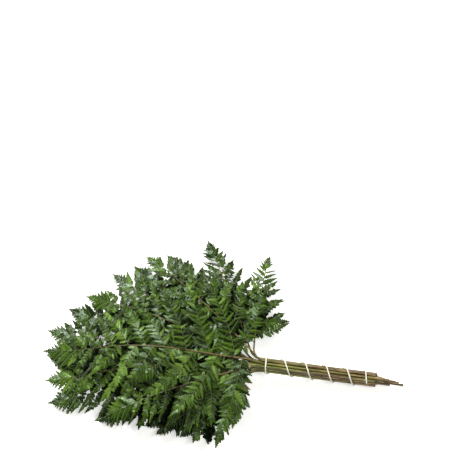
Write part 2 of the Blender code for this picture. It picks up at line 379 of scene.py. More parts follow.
def in_range(tree, value, low, high, to_low=0.0, to_high=1.0):
    """A value's place between low and high, smoothly, held at both ends."""
    return add_node(
        tree,
        "ShaderNodeMapRange",
        {"Value": value, "From Min": low, "From Max": high, "To Min": to_low, "To Max": to_high},
        interpolation_type="SMOOTHSTEP",
    ).outputs[0]


def attribute(tree, name):
    return add_node(tree, "ShaderNodeAttribute", attribute_name=name).outputs["Fac"]


def noise(tree, scale, stretch=(1, 1, 1), detail=3.0):
    """Noise on Object coordinates, with scale features to a metre, stretched on each axis."""
    place = add_node(tree, "ShaderNodeTexCoord").outputs["Object"]
    mapped = add_node(tree, "ShaderNodeMapping", {"Vector": place, "Scale": stretch})
    return add_node(
        tree,
        "ShaderNodeTexNoise",
        {"Vector": mapped.outputs[0], "Scale": scale, "Detail": detail},
    ).outputs["Fac"]


def worked_out(tree, operation, *values):
    """The result of a Math node on these numbers or sockets."""
    made = add_node(tree, "ShaderNodeMath", dict(enumerate(values)), operation=operation)
    return made.outputs[0]


def relief_of(tree, height, strength, depth):
    """The normal of a surface with this fine relief, depth being in metres."""
    return add_node(
        tree, "ShaderNodeBump", {"Height": height, "Strength": strength, "Distance": depth}
    ).outputs[0]


# Stalk skin: olive green near the blades and browner towards the cut, with long tan and dark
# streaks, fine grooves and a dull wax shine. The tan streaks are partly painted highlight, and
# the dark ones partly painted shade of the gaps between stalks. The cut faces are pale pith
# with darker patches.
GREEN_SKIN = ((0.085, 0.110, 0.016), (0.21, 0.205, 0.045))
BROWN_SKIN = ((0.075, 0.045, 0.018), (0.26, 0.160, 0.068))
TAN_STREAK_AND_HIGHLIGHT = (0.42, 0.32, 0.14)
DARK_STREAK_AND_GAP_SHADE = (0.045, 0.032, 0.012)
PALE_PITH = (0.50, 0.43, 0.24)
DARK_PITH = (0.24, 0.17, 0.08)
PITH_ROUGHNESS = 0.8
stalk_skin, tree, shader = new_finish("stalk_skin")
streaks = noise(tree, 430, (0.028, 1, 1), 4)
patches = in_range(tree, noise(tree, 60, (0.3, 1, 1), 2), 0.3, 0.7, -0.35, 0.35)
woody = worked_out(tree, "ADD", attribute(tree, "woody"), patches)
green_skin = colour_mix(tree, attribute(tree, "tint"), *GREEN_SKIN)
brown_skin = colour_mix(tree, attribute(tree, "tint"), *BROWN_SKIN)
skin = colour_mix(tree, in_range(tree, woody, 0.1, 0.9), green_skin, brown_skin)
# Tan streaks: partly the skin's own streaks, partly painted highlight along the stalks.
skin = colour_mix(tree, in_range(tree, streaks, 0.56, 0.72, 0.0, 0.75), skin, TAN_STREAK_AND_HIGHLIGHT)
# Dark streaks: partly the skin's own streaks, partly painted shade for the gaps between stalks.
skin = colour_mix(tree, in_range(tree, streaks, 0.53, 0.38, 0.0, 0.92), skin, DARK_STREAK_AND_GAP_SHADE)
tree.links.new(skin, shader.inputs["Base Color"])
tree.links.new(in_range(tree, streaks, 0.3, 0.7, 0.5, 0.36), shader.inputs["Roughness"])
grooves = relief_of(tree, noise(tree, 900, (0.02, 1, 1), 3), 0.35, 0.4 * MM)
tree.links.new(grooves, shader.inputs["Normal"])

stalk_pith, tree, shader = new_finish("stalk_pith")
pith = colour_mix(tree, in_range(tree, noise(tree, 900), 0.35, 0.7), PALE_PITH, DARK_PITH)
tree.links.new(pith, shader.inputs["Base Color"])
shader.inputs["Roughness"].default_value = PITH_ROUGHNESS

BUNDLE_STATIONS = 17
BEND_STATIONS = 26
STALK_OVERLAP = 0.5 * MM
LUMP = 0.03
LUMP_WAVE = 9
LUMP_WAVE_VARIES = 0.04
SLIM = (0.8, 0.97)
WOODY_AT_NECK = 0.08
WOODY_VARIES = (-0.25, 0.3)


def stalk_strand(frond):
    """The stalk's middle line, from its cut end through the neck to the foot of its blade."""
    draw = random.Random(frond["seed"] + 1)
    tint = draw.random()
    woody = draw.uniform(*WOODY_VARIES)
    wave = 1 + varied(draw, LUMP_WAVE_VARIES)
    slim = draw.uniform(*SLIM)
    strand = []

    def add(s, y, height, radius, wood):
        facts = {"thickness": radius, "tint": tint, "woody": wood + WOODY_AT_NECK + woody}
        strand.append((world(s, y, height), facts))

    for n in range(BUNDLE_STATIONS):
        s = -frond["cut"] * (1 - n / BUNDLE_STATIONS)
        radius = blend(RADIUS_AT_NECK, RADIUS_AT_CUT, -s / frond["cut"])
        lump = LUMP * math.sin(LUMP_WAVE * n * wave) * (0 < n < BUNDLE_STATIONS - 1)
        radius *= slim * (1 + lump)
        add(s, frond["across"], bundle_height(s) + frond["up"], radius, -s / LONGEST_CUT)
    end = frond["starts"] + STALK_OVERLAP
    for n in range(BEND_STATIONS + 1):
        along = end * n / BEND_STATIONS
        s, y, _ = on_path(frond["path"], along)
        settled = smooth(along / min(SPREAD_BY, frond["starts"]))
        height = blend(NECK.z + frond["up"], layer_height(frond["level"], s, y), settled)
        radius = blend(slim * RADIUS_AT_NECK, RADIUS_AT_BLADE, n / BEND_STATIONS)
        add(s, y, height, radius, 0.0)
    return strand


bunch = frond_list()
for frond in bunch:
    lines = strand_mesh("stalk", [stalk_strand(frond)])
    values = {"Sides": STALK_SIDES, "Finish": stalk_skin}
    stalk = grow(frond["name"] + "_round_stalk", lines, stalk_tree, values)
    stalk.data.materials.append(stalk_pith)
    # Only the two ends have more than four corners, and the one before the neck is the cut.
    for polygon in stalk.data.polygons:
        if len(polygon.vertices) > 4:
            polygon.material_index = int(polygon.center.x > NECK.x)
            polygon.use_smooth = False
    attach(stalk, "root")
    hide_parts(frond["name"] + "_stalk")


# The leaflets. Each is a small leathery leaf with teeth that point forwards, arched along its
# midrib, with a glossy deep green face and a paler dull back. Towards the tips of a frond and of
# its pinnae they run together into one long leaf, cut into lobes along both edges.
LEAFLET_FORMS = {
    "lobed": {"lobes": 4, "depth": 0.42, "bulge": 1.8, "foot": 0.4},
    "plain": {"lobes": 3, "depth": 0.26, "bulge": 2.0, "foot": 0.85},
    "pinna": {"lobes": 6, "depth": 0.5, "bulge": 1.35, "foot": 0.5},
}
FORMS = list(LEAFLET_FORMS)
MIDRIB = (0.0, 0.3, 0.6, 0.85)
HALF_THICKNESS = 0.02
DROOP = 0.11
FOLD = 0.06
SWEEP = 0.14
ROOT_BREADTH = 0.4
WIDENS = 3.6
NOTCH_AT = 0.2
LOBE_AT = 0.9
POINT_LENGTH = 0.6


def toothed_edge(lobes, depth, bulge, foot):
    """(x, y) along one edge of a leaflet 1 long and 1 wide, with a notch before each lobe.

    depth is how deep the notches are, bulge how far along it stays broad, and foot the breadth
    of its foot.
    """
    points = [(0.0, ROOT_BREADTH * foot)]
    for n in range(lobes):
        for place, share in ((NOTCH_AT, 1 - depth), (LOBE_AT, 1.0)):
            x = (n + place) / (lobes + POINT_LENGTH)
            full = blend(foot, 1.0, min(1.0, WIDENS * x)) * (1 - x**bulge) ** (1 / bulge)
            points.append((x, 0.5 * full * share))
    return points


def leaflet_mesh(name, outline, sweep):
    """A closed leaflet 1 long and 1 wide, growing along +X from the origin, face up."""
    shape = bmesh.new()
    face_side = shape.verts.layers.float.new("face_side")
    uv = shape.loops.layers.uv.new("UVMap")
    uv_of = {}

    def add(x, y, above, side):
        height = above - DROOP * x * x - FOLD * abs(y)
        vertex = shape.verts.new((x, y + sweep * x * x, height))
        vertex[face_side] = side
        uv_of[vertex] = (x, y + 0.5)
        return vertex

    def strip(inner, outer):
        """Triangles between two lines of vertices, each line being in order along the leaflet."""
        i = j = 0
        while i < len(inner) - 1 or j < len(outer) - 1:
            inner_x = inner[i + 1].co.x if i < len(inner) - 1 else math.inf
            outer_x = outer[j + 1].co.x if j < len(outer) - 1 else math.inf
            corners = [inner[i], outer[j]]
            if inner_x < outer_x:
                i += 1
                corners.append(inner[i])
            else:
                j += 1
                corners.append(outer[j])
            if len(set(corners)) == 3:
                shape.faces.new(corners)

    tip = add(1.0, 0.0, 0.0, 0.5)
    upper = [add(x, 0.0, HALF_THICKNESS * min(1.0, 0.4 + 2 * x), 1.0) for x in MIDRIB]
    lower = [add(x, 0.0, -HALF_THICKNESS, 0.0) for x in MIDRIB]
    for hand in (1, -1):
        rim = [add(x, hand * y, 0.0, 0.5) for x, y in outline] + [tip]
        strip(upper + [tip], rim)
        strip(lower + [tip], rim)
        shape.faces.new((upper[0], lower[0], rim[0]))
    bmesh.ops.recalc_face_normals(shape, faces=shape.faces)
    for edge in shape.edges:
        on_rim = all(vertex[face_side] == 0.5 for vertex in edge.verts)
        edge.smooth = not on_rim and any(vertex.co.x > 0 for vertex in edge.verts)
    for face in shape.faces:
        face.smooth = True
        for loop in face.loops:
            loop[uv].uv = uv_of[loop.vert]
    data = bpy.data.meshes.new(name)
    shape.to_mesh(data)
    shape.free()
    return bpy.data.objects.new(name, data)


# In order of their names, each form is there twice: for hand 1, and then for hand -1.
leaflet_shapes = bpy.data.collections.new("leaflet_shapes")
for index, form in enumerate(LEAFLET_FORMS.values()):
    for order, hand in enumerate((1, -1)):
        outline = toothed_edge(**form)
        leaflet = leaflet_mesh(f"leaflet_{index}_{order}", outline, -SWEEP * hand)
        leaflet_shapes.objects.link(leaflet)


# Leaf finish: deep green with yellower and darker leaflets, fine paler veins and a leathery
# shine. The back is dull and pale, and one leaf near the neck has a dry brown tip. Leaflets
# that lie under others, and those of the lower blades, are darkened as painted shade.
DEEP_GREEN = (0.004, 0.011, 0.001)
FULL_GREEN = (0.030, 0.064, 0.003)
YOUNG_GREEN = (0.100, 0.175, 0.024)
VEIN_GREEN = (0.12, 0.20, 0.06)
MIDRIB_GREEN = (0.15, 0.22, 0.07)
BACK_GREEN = (0.085, 0.135, 0.045)
PAINTED_SHADE_GREEN = (0.002, 0.004, 0.001)
DRY_BROWN = ((0.03, 0.012, 0.006), (0.10, 0.045, 0.018))
DRY_SPOT = (45 * MM, -77 * MM, 0)
DRY_WITHIN = 9 * MM
RAGGED = 0.4 * DRY_WITHIN
VEIN_SLANT = -0.75
VEIN_WAVES = 44.0
LEAF_SHINE = 0.26
SHINE_COLOUR = (0.78, 1.0, 0.82, 1)
leaf_skin, tree, shader = new_finish("leaf_skin")
veins_at = add_node(tree, "ShaderNodeUVMap", uv_map="UVMap").outputs[0]
vein_axes = add_node(tree, "ShaderNodeSeparateXYZ", {"Vector": veins_at}).outputs
off_midrib = worked_out(tree, "ABSOLUTE", worked_out(tree, "SUBTRACT", vein_axes["Y"], 0.5))
slant = worked_out(tree, "MULTIPLY_ADD", off_midrib, VEIN_SLANT, vein_axes["X"])
ripple = worked_out(tree, "SINE", worked_out(tree, "MULTIPLY", slant, VEIN_WAVES))
patches = in_range(tree, noise(tree, 26, detail=2), 0.3, 0.7, -0.22, 0.22)
tint = worked_out(tree, "ADD", attribute(tree, "tint"), patches)
leaf = colour_mix(tree, in_range(tree, tint, -0.1, 0.7), DEEP_GREEN, FULL_GREEN)
leaf = colour_mix(tree, in_range(tree, tint, 0.6, 1.1), leaf, YOUNG_GREEN)
leaf = colour_mix(tree, in_range(tree, ripple, 0.7, 1.0, 0.0, 0.16), leaf, VEIN_GREEN)
on_midrib = in_range(tree, off_midrib, 0.045, 0.015, 0.0, 0.45)
leaf = colour_mix(tree, on_midrib, leaf, MIDRIB_GREEN)
on_back = in_range(tree, attribute(tree, "face_side"), 0.45, 0.3)
leaf = colour_mix(tree, on_back, leaf, BACK_GREEN)

place = add_node(tree, "ShaderNodeTexCoord").outputs["Object"]
seen_from_above = add_node(tree, "ShaderNodeMapping", {"Vector": place, "Scale": (1, 1, 0)})
from_dry = add_node(
    tree,
    "ShaderNodeVectorMath",
    {0: seen_from_above.outputs[0], 1: DRY_SPOT},
    operation="DISTANCE",
).outputs["Value"]
ragged = in_range(tree, noise(tree, 300), 0.3, 0.7, -RAGGED, RAGGED)
from_dry = worked_out(tree, "ADD", from_dry, ragged)
dry_leaf = colour_mix(tree, in_range(tree, noise(tree, 500), 0.4, 0.6), *DRY_BROWN)
leaf = colour_mix(tree, in_range(tree, from_dry, DRY_WITHIN, 0.6 * DRY_WITHIN), leaf, dry_leaf)

# Painted shade: a leaflet that lies under others in the heap is darkened, nearly to black.
shade = attribute(tree, "shade")
leaf = colour_mix(tree, in_range(tree, shade, 0.0, 1.0, 0.0, 0.92), leaf, PAINTED_SHADE_GREEN)
tree.links.new(leaf, shader.inputs["Base Color"])
gloss = in_range(tree, noise(tree, 140, detail=2), 0.3, 0.7, 0.2, 0.35)
dulled = worked_out(tree, "ADD", gloss, in_range(tree, shade, 0.0, 0.4, 0.0, 0.65))
tree.links.new(dulled, shader.inputs["Roughness"])
shader.inputs["Specular IOR Level"].default_value = LEAF_SHINE
shader.inputs["Specular Tint"].default_value = SHINE_COLOUR
sunk_midrib = in_range(tree, off_midrib, 0.0, 0.06, -1.4, 0.0)
veins = relief_of(tree, worked_out(tree, "ADD", ripple, sunk_midrib), 0.25, 0.12 * MM)
tree.links.new(veins, shader.inputs["Normal"])


# Rib finish: the midrib of a frond is brown as its stalk, and the ribs of the pinnae turn green
# towards their tips.
GREEN_RIB = (0.045, 0.06, 0.014)
BROWN_RIB = (0.17, 0.105, 0.04)
RIB_SPECK = (0.07, 0.042, 0.016)
RIB_ROUGHNESS = 0.45
rib_skin, tree, shader = new_finish("rib_skin")
rib = colour_mix(tree, attribute(tree, "woody"), GREEN_RIB, BROWN_RIB)
rib = colour_mix(tree, in_range(tree, noise(tree, 260), 0.5, 0.75, 0.0, 0.7), rib, RIB_SPECK)
tree.links.new(rib, shader.inputs["Base Color"])
shader.inputs["Roughness"].default_value = RIB_ROUGHNESS


# The blades. A midrib carries pairs of pinnae, each a rib with two rows of leaflets, longest at
# the foot. Every blade lies in its own layer of the heap, and the lowest is pressed flat.

# Along a midrib, in shares of the blade's length. The plan's draws repeat those of the solids,
# which have this many leaflets on each side of a pinna, so that each pinna lies where theirs do.
PLANNED_LEAFLETS = (3, 3, 3, 2, 2, 1, 1, 1, 0, 0)
MIDRIB_STEPS = 40
MIDRIB_TAPER = 0.8
RADIUS_AT_TIP = 0.3 * MM
FIRST_PAIR = 0.035
FIRST_GAP = 0.12
GAP_SHRINK = 0.91
STAGGER = 0.035
# Along a pinna. It starts at the first angle near the foot of a blade, and at the second one near
# its tip, and turns forwards by its curve, all in degrees.
PINNA_LENGTH = 0.45
PINNA_LENGTH_VARIES = (0.94, 1.04)
PINNA_TAPER = 0.8
PINNA_ANGLES = (80.0, 50.0)
ANGLES_UP_TO = 0.8
PLANNED_ANGLE_VARIES = 3
PINNA_ANGLE_VARIES = 4.5
PINNA_CURVE = 20.0
PINNA_CURVE_VARIES = 9
PINNA_RISE = 1.9
PINNA_DROP = 2.3
TWIST_VARIES = 0.35
LIFT_VARIES = 0.15
LIFT_GROWTH = 4
STRAY_FROM = 8
STRAY_VARIES = 1.3
RIB_STEPS = 24
RIB_STATIONS = 12
RIB_END = 0.96
RIB_RADII = (0.5 * MM, 0.2 * MM)
RIB_EDGE = 0.2 * MM
RIB_SIDES = 6
RIB_WOODY = 0.25
# The rows of leaflets on a pinna. The places of the first ones are in millimetres.
PLANNED_WIDTHS = (0.92, 1.03)
LEAFLET_REACH = 0.64
LEAFLET_REACH_VARIES = (0.74, 1.08)
LEAFLET_TAPER = 0.6
LEAFLET_SPACING = (4.2 * MM, 12.5 * MM)
LEAFLET_ANGLES = (60.0, 42.0)
LEAFLET_ANGLE_VARIES = 11
LEAFLET_DROOP = 0.3
LEAFLET_DROOP_VARIES = 0.3
FIRST_LEAFLET = 3.2
LEAFLET_STAGGER = 1.3
FOOT_SHORTER = 0.62
FOOT_GROWTH = 3
FOOT_SIDE_LONGER = 1.1
SPACING_SHARE = 0.55
BROAD_SHARE = 1.24
BROAD_VARIES = (0.92, 1.1)
SHORT_LEAVES_BROADER = 1.25
CUT_ABOVE = 12.5 * MM
PLAIN_BELOW = 8.5 * MM
ROW_PAST_END = 0.04
END_LEAF_FROM = (0.62, 0.86)
END_LEAF_BROAD = 2.0
END_LEAF_DROOP = 0.15
NARROW_PINNA = 13 * MM
SINGLE_BELOW = 30 * MM
SINGLE_BROAD = 2.4
SINGLE_DROOP = 0.2
# The run of leaflets at the tip of a frond.
TIP_LEAFLETS = 12
TIP_FROM = 0.17
TIP_SHRINK = 0.88
TIP_REACH = 0.66
TIP_REACH_VARIES = (0.88, 1.05)
TIP_ANGLE = 40
TIP_DROOP = 0.2
TIP_LEAFLET_BROAD = 0.6
LAST_LEAF_FROM = 0.93
LAST_LEAF_BROAD = 0.55
# How a leaf lies and differs from its neighbours. Its tint is 0 where it is dark and 1 where
# it is pale. It varies at random, and the lower a blade lies in the heap, the lower its tint,
# as painted shade.
SHINGLE = 0.14
PINNA_ROLL_VARIES = 0.32
FACE_VARIES = 0.34
THICKNESS_VARIES = (0.5, 1.5)
MIDDLE_TINT = 0.5
TINT_RANGE = (-0.3, 1.2)
TINT_VARIES = 0.24
PINNA_TINT_VARIES = 0.12
FROND_TINT_VARIES = (-0.12, 0.17)
LOWER_PAINTED_DARKER = 0.55
LOW_LEAVES_BROADER = 1.9
LOW_UP_TO = 12
# How the blades fill the heap. The lowest one's height and sway are in millimetres.
BLADE_MARGIN = 0.5 * MM
LOWEST_HEIGHT = 1.2
LOWEST_SWAY = 0.9
LEAST_HEIGHT = 1.5 * MM
MOST_LIFT = 2.6
PRESSED_BELOW = 1.6 * MM
EVEN_ABOVE = 93 * MM
EVEN_WITHIN = 5 * MM
SHADE_CELL = 11 * MM
SHADE_FROM = 0.5 * MM
SHADE_WITHIN = 8.5 * MM
BURIED_BROADER = 1.7
UP = Vector((0, 0, 1))


def settled_height(z):
    """Leaves that would dip into the table lie pressed on it, and the top of the heap is even."""
    if z < PRESSED_BELOW:
        return PRESSED_BELOW * math.exp(z / PRESSED_BELOW - 1)
    if z > EVEN_ABOVE:
        return EVEN_ABOVE + EVEN_WITHIN * (1 - math.exp((EVEN_ABOVE - z) / EVEN_WITHIN))
    return z


def pair_place(pair):
    """Where on a midrib this pair of pinnae grows, from 0 to 1."""
    return FIRST_PAIR + FIRST_GAP * (1 - GAP_SHRINK**pair) / (1 - GAP_SHRINK)


def layer_room(level, s, y):
    """How far a blade can go up or down in its layer."""
    lower, upper = layer(level, s)
    half = (upper - lower) * heap_depth(s, y) / 2
    return max(0.0, half - BLADE_MARGIN)


def blade_point(level, s, y, lift):
    """A place in a blade's layer. lift runs from -1, its floor, to 1, its ceiling.

    Strays lift further, into the layers above, but none past the top of the heap.
    """
    if level == 0:
        return world(s, y, (LOWEST_HEIGHT + LOWEST_SWAY * max(-1.0, min(1.0, lift))) * MM)
    lift = max(-MOST_LIFT, min(MOST_LIFT, lift))
    height = layer_height(level, s, y) + lift * layer_room(level, s, y)
    return world(s, y, max(LEAST_HEIGHT, min(height, heap_depth(s, y))))


def pinna_arch(v):
    """The lift along a pinna, which rises from the midrib and droops past its middle."""
    return PINNA_RISE * v - PINNA_DROP * v * v


def leaflet_form(width):
    """The form of a leaflet that reaches this far from its rib."""
    if width <= PLAIN_BELOW:
        return "plain"
    return "pinna" if width > CUT_ABOVE else "lobed"


def rib_path(s, y, angle, curve, length, steps):
    """(s, y, direction) along a rib that turns by curve, in degrees, over its length."""
    points = []
    for step in range(steps + 1):
        here = angle - math.radians(curve) * step / steps
        points.append((s, y, here))
        s += length / steps * math.cos(here)
        y += length / steps * math.sin(here)
    return points


def on_rib(rib, v):
    """(s, y, direction) at v of a rib, from 0 to 1."""
    place = max(0.0, min(1.0, v)) * (len(rib) - 1)
    index = min(len(rib) - 2, int(place))
    return tuple(blend(a, b, place - index) for a, b in zip(rib[index], rib[index + 1]))


class Blade:
    """A blade as it grows: its ribs, as strands for tubes, and a dictionary for each leaflet."""

    def __init__(self, frond):
        self.plan = random.Random(frond["seed"])
        self.draw = random.Random(frond["seed"] + 2)
        self.level = frond["level"]
        self.path = frond["path"]
        self.start = frond["starts"]
        self.length = frond["length"]
        self.width = frond["width"]
        below_top = 1 - self.level / (FRONDS - 1)
        # The lower a blade lies in the heap, the darker its leaflets, as painted shade; the rest of
        # this tint is random.
        self.tone_and_shade = self.draw.uniform(*FROND_TINT_VARIES) - LOWER_PAINTED_DARKER * below_top
        self.broader = blend(LOW_LEAVES_BROADER, 1.0, smooth(self.level / LOW_UP_TO))
        self.ribs = []
        self.leaflets = []

    def point(self, s, y, lift=0.0):
        return blade_point(self.level, s, y, lift)

    def midrib(self, place):
        """(s, y, direction) on the midrib, place being 0 at its foot and 1 at its tip."""
        return on_path(self.path, self.start + place * self.length)

    def midrib_point(self, place):
        s, y, _ = self.midrib(place)
        return self.point(s, y)

    def add_leaf(self, root, tip, ahead, width, form, hand, roll=0.0, tint=0.0):
        """A leaflet from root to tip. ahead is the way its rib goes, and hand its side of it."""
        reach = tip - root
        face = UP - reach * (reach.z / reach.length_squared)
        face = face.normalized() + ahead.normalized() * (roll + self.draw.gauss(0, FACE_VARIES))
        thick = reach.length * self.draw.uniform(*THICKNESS_VARIES)
        tint = MIDDLE_TINT + self.tone_and_shade + tint + self.draw.gauss(0, TINT_VARIES)
        least, most = TINT_RANGE
        self.leaflets.append(
            {
                "root": root,
                "aim": reach,
                "face": face,
                "size": (reach.length, self.broader * width, thick),
                "tint": min(most, max(least, tint)),
                "kind": 2 * FORMS.index(form) + (hand < 0),
            }
        )

    def add_midrib(self):
        strand = []
        for n in range(MIDRIB_STEPS + 1):
            place = n / MIDRIB_STEPS
            thickness = blend(RADIUS_AT_BLADE, RADIUS_AT_TIP, place**MIDRIB_TAPER)
            facts = {"thickness": thickness, "woody": 1 - place}
            strand.append((self.midrib_point(place), facts))
        self.ribs.append(strand)

    def add_tip(self):
        """Past the last pinnae, ever smaller leaflets run on to the tip, one leaflet too."""
        for n in range(TIP_LEAFLETS):
            hand = 1 if n % 2 else -1
            left = TIP_FROM * TIP_SHRINK**n
            s, y, heading = self.midrib(1 - left)
            reach = TIP_REACH * left * self.length * self.draw.uniform(*TIP_REACH_VARIES)
            angle = heading + hand * math.radians(TIP_ANGLE)
            root = self.point(s, y)
            s, y = s + reach * math.cos(angle), y + reach * math.sin(angle)
            tip = self.point(s, y, -TIP_DROOP)
            ahead = self.midrib_point(1 - left + 0.01) - root
            self.add_leaf(root, tip, ahead, TIP_LEAFLET_BROAD * reach, "pinna", hand, SHINGLE)
        root, tip = self.midrib_point(LAST_LEAF_FROM), self.midrib_point(1.0)
        reach = tip - root
        self.add_leaf(root, tip, reach.cross(UP), LAST_LEAF_BROAD * reach.length, "pinna", 1)


class Pinna:
    """A side rib of a blade. hand is 1 on the midrib's right, seen from above, and else -1."""

    def __init__(self, blade, pair, hand):
        plan, draw = blade.plan, blade.draw
        self.blade = blade
        self.pair = pair
        self.hand = hand
        self.place = pair_place(pair) + STAGGER * (0.5 + 0.5 * hand)
        s, y, heading = blade.midrib(self.place)
        first_angle = blend(*PINNA_ANGLES, self.place / ANGLES_UP_TO)
        first_angle += varied(plan, PLANNED_ANGLE_VARIES)
        self.length = PINNA_LENGTH * blade.width * blade.length * (1 - self.place) ** PINNA_TAPER
        self.length *= plan.uniform(*PINNA_LENGTH_VARIES)
        self.twist = varied(plan, TWIST_VARIES)
        self.lift = varied(plan, LIFT_VARIES)
        planned = 2 * PLANNED_LEAFLETS[pair]
        widths = [plan.uniform(*PLANNED_WIDTHS) for _ in range(planned)] or [1.0]
        gap = FIRST_GAP * GAP_SHRINK**pair * blade.length
        self.reach = LEAFLET_REACH * gap * math.sin(math.radians(first_angle))
        self.reach *= sum(widths) / len(widths)
        angle = first_angle + draw.gauss(0, PINNA_ANGLE_VARIES)
        curve = PINNA_CURVE + draw.gauss(0, PINNA_CURVE_VARIES)
        direction = heading + hand * math.radians(angle)
        self.rib = rib_path(s, y, direction, hand * curve, self.length, RIB_STEPS)
        self.roll = SHINGLE + draw.gauss(0, PINNA_ROLL_VARIES)
        self.tint = draw.gauss(0, PINNA_TINT_VARIES)
        if blade.level >= STRAY_FROM:
            self.lift += max(0.0, draw.gauss(0.0, STRAY_VARIES))

    def beside(self, v, off=0.0, lean=0.0, tilt=0.0):
        """A place at v of the rib, from 0 to 1, moved to its right by off and ahead by lean."""
        s, y, angle = on_rib(self.rib, v + lean / self.length)
        lift = pinna_arch(v) + self.lift * min(1.0, LIFT_GROWTH * v) + tilt
        return self.blade.point(s - off * math.sin(angle), y + off * math.cos(angle), lift)

    def add_leaf(self, root, tip, ahead, width, form, hand, roll):
        self.blade.add_leaf(root, tip, ahead, width, form, hand, roll, self.tint)

    def add_all(self):
        if self.length < SINGLE_BELOW:
            self.add_single_leaf()
            return
        self.add_rib()
        end_from = END_LEAF_FROM[self.reach > NARROW_PINNA]
        for side in (1, -1):
            self.add_row(side, end_from + ROW_PAST_END)
        self.add_end_leaf(end_from)

    def add_single_leaf(self):
        """Near the tip of a frond, a pinna is one leaf cut into lobes."""
        root, tip = self.beside(0.0), self.beside(1.0, tilt=-SINGLE_DROOP)
        ahead = self.blade.midrib_point(self.place + 0.02) - root
        broad = SINGLE_BROAD * self.reach
        self.add_leaf(root, tip, ahead, broad, "pinna", self.hand, self.roll)

    def add_rib(self):
        strand = []
        for n in range(RIB_STATIONS + 1):
            v = RIB_END * n / RIB_STATIONS
            facts = {"thickness": blend(*RIB_RADII, v), "woody": RIB_WOODY * (1 - v)}
            strand.append((self.beside(v), facts))
        self.blade.ribs.append(strand)

    def add_row(self, side, up_to):
        """The leaflets on one side of the rib, which get shorter towards its end."""
        draw = self.blade.draw
        v = (FIRST_LEAFLET + LEAFLET_STAGGER * side) * MM / self.length
        while v < up_to:
            width = self.reach * (1 - v) ** LEAFLET_TAPER * smooth(FOOT_SHORTER + FOOT_GROWTH * v)
            width *= draw.uniform(*LEAFLET_REACH_VARIES)
            if self.pair == 0 and side == self.hand:
                width *= blend(FOOT_SIDE_LONGER, 1.0, v)
            least, most = LEAFLET_SPACING
            spacing = min(most, max(least, SPACING_SHARE * width))
            angle = blend(*LEAFLET_ANGLES, v) + draw.gauss(0, LEAFLET_ANGLE_VARIES)
            lean = width / math.tan(math.radians(angle))
            root = self.beside(v, side * RIB_EDGE)
            tilt = side * self.twist - LEAFLET_DROOP + draw.gauss(0, LEAFLET_DROOP_VARIES)
            tip = self.beside(v, side * width, lean, tilt)
            ahead = self.beside(v + 0.03, side * RIB_EDGE) - root
            broad = BROAD_SHARE * spacing * draw.uniform(*BROAD_VARIES)
            broad *= blend(SHORT_LEAVES_BROADER, 1.0, smooth(width / NARROW_PINNA))
            self.add_leaf(root, tip, ahead, broad, leaflet_form(width), side, self.roll)
            v += spacing / self.length

    def add_end_leaf(self, end_from):
        """A pinna ends in one lobed leaf."""
        root, tip = self.beside(end_from), self.beside(1.0, tilt=-END_LEAF_DROOP)
        broad = END_LEAF_BROAD * self.reach * (1 - end_from) ** LEAFLET_TAPER
        sideways = (tip - root).cross(UP) * self.hand
        self.add_leaf(root, tip, sideways, broad, "pinna", self.hand, self.roll - SHINGLE)


def grown_blade(frond):
    """The blade with all that grows on it, from the foot to the tip."""
    blade = Blade(frond)
    blade.add_midrib()
    for pair in range(len(PLANNED_LEAFLETS)):
        for hand in (1, -1):
            Pinna(blade, pair, hand).add_all()
    blade.add_tip()
    return blade


def shade_leaflets(blades):
    """A leaflet is shaded by what lies over it, but not where the heap is open on one side."""
    leaflets = [leaf for blade in blades for leaf in blade.leaflets]
    top_of, cover = {}, {}
    for leaf in leaflets:
        middle = leaf["root"] + leaf["aim"] / 2
        leaf["cell"] = round(middle.x / SHADE_CELL), round(middle.y / SHADE_CELL)
        leaf["height"] = middle.z
        top_of[leaf["cell"]] = max(top_of.get(leaf["cell"], 0.0), middle.z)
    for x, y in top_of:
        around = [(x + n, y + m) for n in (-1, 0, 1) for m in (-1, 0, 1)]
        cover[x, y] = min(top_of.get(cell, 0.0) for cell in around)
    for leaf in leaflets:
        buried = cover[leaf["cell"]] - leaf["height"] - SHADE_FROM
        leaf["shade"] = smooth(buried / SHADE_WITHIN)
        long, broad, thick = leaf["size"]
        leaf["size"] = (long, broad * blend(1.0, BURIED_BROADER, leaf["shade"]), thick)


def leaflet_places(name, leaflets):
    """A mesh of bare points, one at the root of each leaflet, that says how it grows."""
    data = bpy.data.meshes.new(name)
    data.from_pydata([leaf["root"] for leaf in leaflets], [], [])
    for key in ("aim", "face", "size"):
        values = [number for leaf in leaflets for number in leaf[key]]
        data.attributes.new(key, "FLOAT_VECTOR", "POINT").data.foreach_set("vector", values)
    for key in ("tint", "shade"):
        values = [leaf[key] for leaf in leaflets]
        data.attributes.new(key, "FLOAT", "POINT").data.foreach_set("value", values)
    values = [leaf["kind"] for leaf in leaflets]
    data.attributes.new("kind", "INT", "POINT").data.foreach_set("value", values)
    return bpy.data.objects.new(name, data)


blade_tree, blade_inputs = new_tree(
    "Fern blade",
    {
        "Leaflet places": "NodeSocketObject",
        "Leaflet shapes": "NodeSocketCollection",
        "Rib sides": "NodeSocketInt",
        "Leaf finish": "NodeSocketMaterial",
        "Rib finish": "NodeSocketMaterial",
    },
)


def said(key, kind):
    """What the leaflet places say under this name."""
    return add_node(
        blade_tree, "GeometryNodeInputNamedAttribute", {"Name": key}, data_type=kind
    ).outputs["Attribute"]


